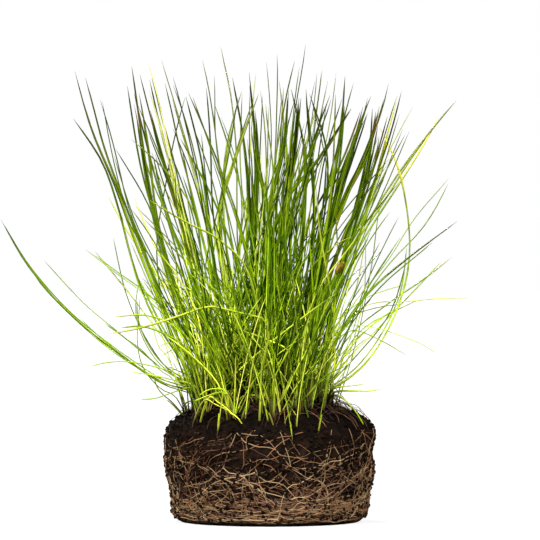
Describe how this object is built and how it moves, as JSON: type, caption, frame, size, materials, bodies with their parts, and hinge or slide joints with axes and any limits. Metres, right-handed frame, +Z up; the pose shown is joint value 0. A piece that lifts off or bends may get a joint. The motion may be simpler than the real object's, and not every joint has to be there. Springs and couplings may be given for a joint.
{
  "type": "dwarf hairgrass clump",
  "caption": "Clump of dwarf hairgrass, an aquarium plant: fine, round, upright culms fanning out in tufts from a matted root ball that stands on its flat underside.",
  "frame": {"origin": "middle of the root ball's flat underside", "axes": "+Z up along the culms, +X to the viewer's right and +Y away from the viewer, as in the picture"},
  "size_m": [0.1083, 0.0929, 0.1106],
  "materials": {
    "leaf": "smooth, slightly glossy, fresh green",
    "root_ball": "rough, dark, matted roots and soil"
  },
  "bodies": {
    "root": {"root_ball": "root_ball", "tuft_back_arc_1": "leaf", "tuft_back_arc_2": "leaf", "tuft_back_arc_3": "leaf", "tuft_far_left": "leaf", "tuft_front_arc_1": "leaf", "tuft_front_arc_2": "leaf", "tuft_front_bent": "leaf", "tuft_front_left": "leaf", "tuft_front_middle": "leaf", "tuft_front_right": "leaf", "tuft_left_crossing": "leaf", "tuft_left_dark": "leaf", "tuft_left_drooping": "leaf", "tuft_left_low": "leaf", "tuft_left_middle": "leaf", "tuft_left_second": "leaf", "tuft_left_wisps": "leaf", "tuft_middle": "leaf", "tuft_middle_back": "leaf", "tuft_middle_crossing": "leaf", "tuft_middle_left": "leaf", "tuft_right_arc": "leaf", "tuft_right_brown": "leaf", "tuft_right_dark": "leaf", "tuft_right_far": "leaf", "tuft_right_leaning": "leaf", "tuft_right_low": "leaf", "tuft_right_middle": "leaf", "tuft_right_straight": "leaf", "tuft_right_tall": "leaf", "tuft_right_upper": "leaf", "tuft_right_wide": "leaf", "tuft_skirt_01": "leaf", "tuft_skirt_02": "leaf", "tuft_skirt_03": "leaf", "tuft_skirt_04": "leaf", "tuft_skirt_05": "leaf", "tuft_skirt_06": "leaf", "tuft_tall_left": "leaf", "tuft_upright_01": "leaf", "tuft_upright_02": "leaf", "tuft_upright_03": "leaf", "tuft_upright_04": "leaf", "tuft_upright_05": "leaf", "tuft_upright_06": "leaf", "tuft_upright_07": "leaf", "tuft_upright_08": "leaf", "tuft_upright_09": "leaf", "tuft_upright_10": "leaf", "tuft_upright_11": "leaf", "tuft_upright_12": "leaf", "tuft_upright_13": "leaf", "tuft_upright_14": "leaf", "tuft_upright_15": "leaf", "tuft_upright_16": "leaf", "tuft_upright_17": "leaf", "tuft_upright_18": "leaf", "tuft_upright_19": "leaf"}
  },
  "joints": []
}
